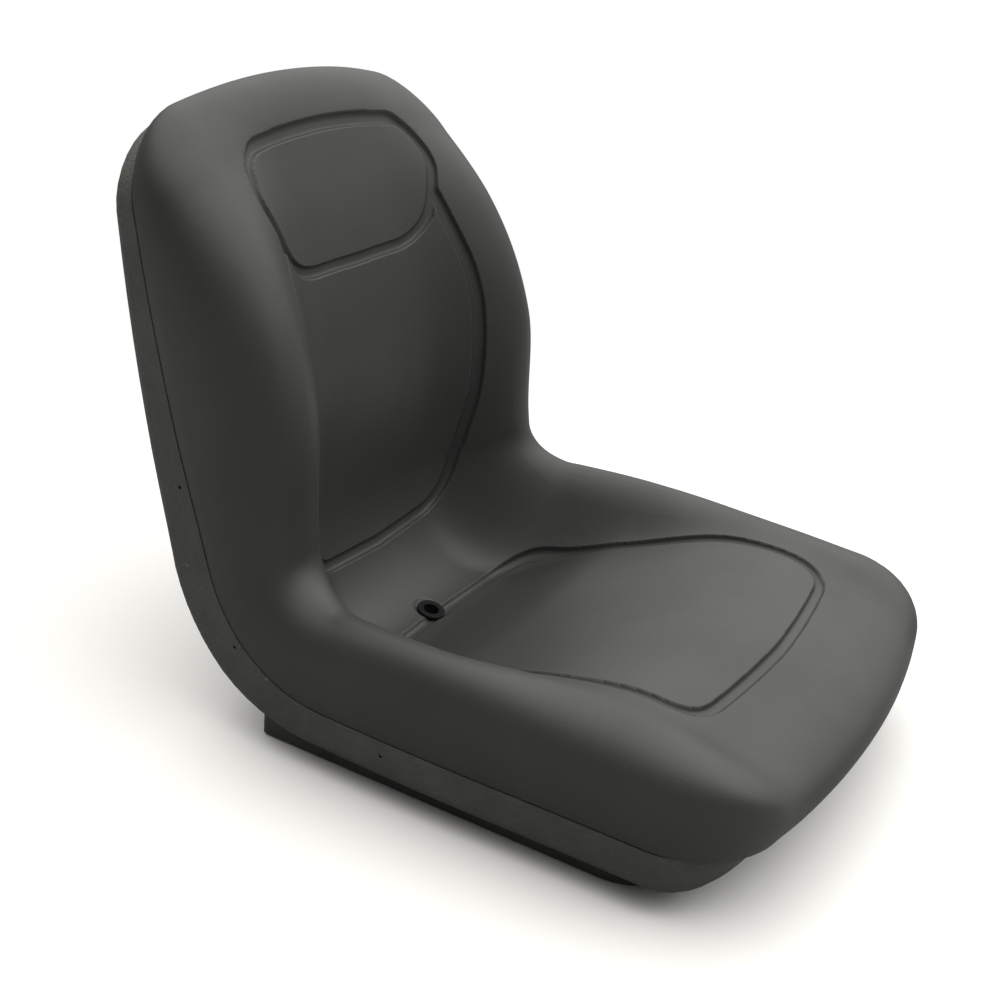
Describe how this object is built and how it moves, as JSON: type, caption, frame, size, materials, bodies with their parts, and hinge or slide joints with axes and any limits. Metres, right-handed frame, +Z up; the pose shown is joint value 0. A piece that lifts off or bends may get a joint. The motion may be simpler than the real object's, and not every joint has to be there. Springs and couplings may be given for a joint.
{
  "type": "ride on mower seat",
  "caption": "High back bucket seat for a ride on mower: padded vinyl cushion with formed bolsters and panel grooves on a moulded pan with a ribbed mounting plinth.",
  "frame": {"origin": "centre of the four mounting threads on the base plane of the plinth", "axes": "+Z up, +Y from the front of the seat to its back, +X to the left of the person who sits in it"},
  "size_m": [0.4636, 0.6406, 0.5044],
  "materials": {
    "vinyl": "satin embossed vinyl",
    "pan_plastic": "fine textured moulding",
    "grommet_rubber": "matt",
    "insert_steel": "zinc plated"
  },
  "bodies": {
    "root": {"seat_cushion": "vinyl", "seat_pan": "pan_plastic", "drain_grommet": "grommet_rubber", "threaded_inserts": "insert_steel"}
  },
  "joints": []
}
